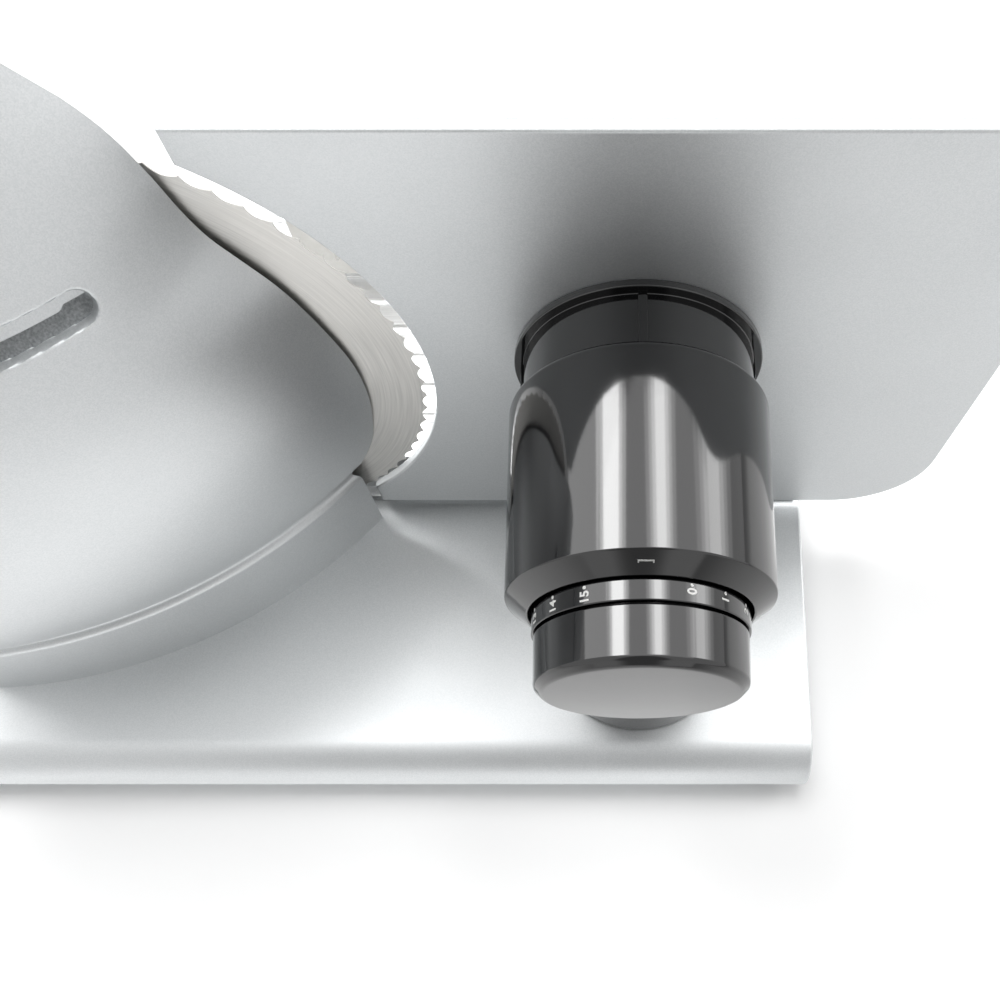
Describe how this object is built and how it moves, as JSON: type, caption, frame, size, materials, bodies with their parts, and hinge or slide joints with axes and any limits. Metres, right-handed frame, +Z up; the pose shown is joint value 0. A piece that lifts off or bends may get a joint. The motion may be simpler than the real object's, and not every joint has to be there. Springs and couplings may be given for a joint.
{
  "type": "electric food slicer",
  "caption": "Electric food slicer: bulged motor housing with a toothed round blade, a gauge plate set by a black thickness dial, and a sliding food carriage on the far side.",
  "frame": {"origin": "middle of the bounding box's bottom, on the table", "axes": "+X to the right as seen by someone facing the thickness dial, +Y from the dial towards the food side, +Z up"},
  "size_m": [0.378, 0.242, 0.2355],
  "materials": {
    "silver_paint": "satin metallic lacquer",
    "blade_steel": "turned and ground",
    "steel": "bright",
    "stainless_sheet": "brushed sheet",
    "zinc_steel": "zinc plated",
    "cast_alloy": "die cast",
    "black_gloss": "polished",
    "black_matte": "fine grain",
    "grey_plastic": "moulded",
    "white_nylon": "natural nylon",
    "bronze": "sintered",
    "copper_winding": "enamelled copper wire",
    "white_plastic": "polished",
    "rubber": "matt"
  },
  "bodies": {
    "frame": {"base_shell": "silver_paint", "base_cover": "grey_plastic", "base_feet": "rubber", "cover_screws": "zinc_steel", "guide_strip": "silver_paint", "inlet_gland": "rubber", "housing_shell": "silver_paint", "groove_liner": "grey_plastic", "housing_back": "cast_alloy", "blade_guard": "silver_paint", "front_bearing": "bronze", "rear_bearing": "bronze", "bearing_bridge": "cast_alloy", "bridge_screws": "zinc_steel", "motor_can": "zinc_steel", "motor_end_cap": "black_matte", "motor_stator": "copper_winding", "motor_cradle": "grey_plastic", "motor_bearings": "bronze", "control_body": "black_gloss", "control_column": "black_gloss", "column_screws": "zinc_steel", "control_web": "grey_plastic", "dial_detent": "steel", "guide_rod": "steel", "rod_brackets": "cast_alloy", "bracket_screws": "zinc_steel", "switch_block": "black_matte"},
    "blade_drive": {"blade": "blade_steel", "blade_hub": "cast_alloy", "blade_shaft": "steel", "worm_wheel": "white_nylon"},
    "lock": {"lock_screw": "black_gloss"},
    "motor_drive": {"motor_shaft": "steel", "motor_rotor": "steel", "motor_fan": "black_matte", "worm": "steel"},
    "gauge": {"gauge_plate": "silver_paint", "plate_sleeve": "black_gloss", "sleeve_nut": "white_nylon", "plate_screws": "zinc_steel"},
    "dial": {"dial_ring": "black_gloss", "dial_grip": "black_gloss", "dial_spindle": "steel", "spindle_clip": "zinc_steel"},
    "carriage": {"carriage_tray": "stainless_sheet", "carriage_frame": "cast_alloy", "carriage_bushes": "bronze", "carriage_shoes": "white_nylon", "carriage_wall": "stainless_sheet", "thumb_guard": "white_plastic"},
    "pusher": {"food_pusher": "white_plastic", "pusher_clip": "white_plastic", "pusher_spikes": "white_plastic", "pusher_handle": "white_plastic"},
    "rocker": {"rocker_switch": "black_gloss"},
    "button": {"push_button": "black_gloss"}
  },
  "joints": [
    {"name": "blade_spin", "type": "hinge", "parent": "frame", "child": "blade_drive", "pos_m": [-0.0852, -0.0092, 0.1168], "axis": [0, 1, 0], "continuous": true},
    {"name": "motor_spin", "type": "hinge", "parent": "frame", "child": "motor_drive", "pos_m": [-0.0852, -0.0462, 0.08175], "axis": [1, 0, 0], "continuous": true},
    {"name": "lock_turn", "type": "hinge", "parent": "blade_drive", "child": "lock", "pos_m": [-0.0852, -0.0092, 0.1168], "axis": [0, 1, 0], "range_deg": [0, 90]},
    {"name": "gauge_slide", "type": "slide", "parent": "frame", "child": "gauge", "axis": [0, -1, 0], "range_m": [0, 0.0161]},
    {"name": "dial_turn", "type": "hinge", "parent": "frame", "child": "dial", "pos_m": [0.077, -0.1, 0.1235], "axis": [0, -1, 0], "range_deg": [0, 330.5]},
    {"name": "carriage_slide", "type": "slide", "parent": "frame", "child": "carriage", "axis": [1, 0, 0], "range_m": [-0.1, 0.04]},
    {"name": "pusher_slide", "type": "slide", "parent": "carriage", "child": "pusher", "axis": [0, 1, 0], "range_m": [-0.055, 0]},
    {"name": "rocker_tip", "type": "hinge", "parent": "frame", "child": "rocker", "pos_m": [-0.1776, -0.0555, 0.162], "axis": [0, 1, 0], "range_deg": [0, 14]},
    {"name": "button_press", "type": "slide", "parent": "frame", "child": "button", "axis": [1, 0, 0], "range_m": [0, 0.0025], "stiffness_N_per_m": 800, "springref_m": -0.001}
  ],
  "couplings": [
    {"joint": "motor_spin", "follows": "blade_spin", "ratio": 50},
    {"joint": "dial_turn", "follows": "gauge_slide", "rad_per_m": 357.81}
  ]
}
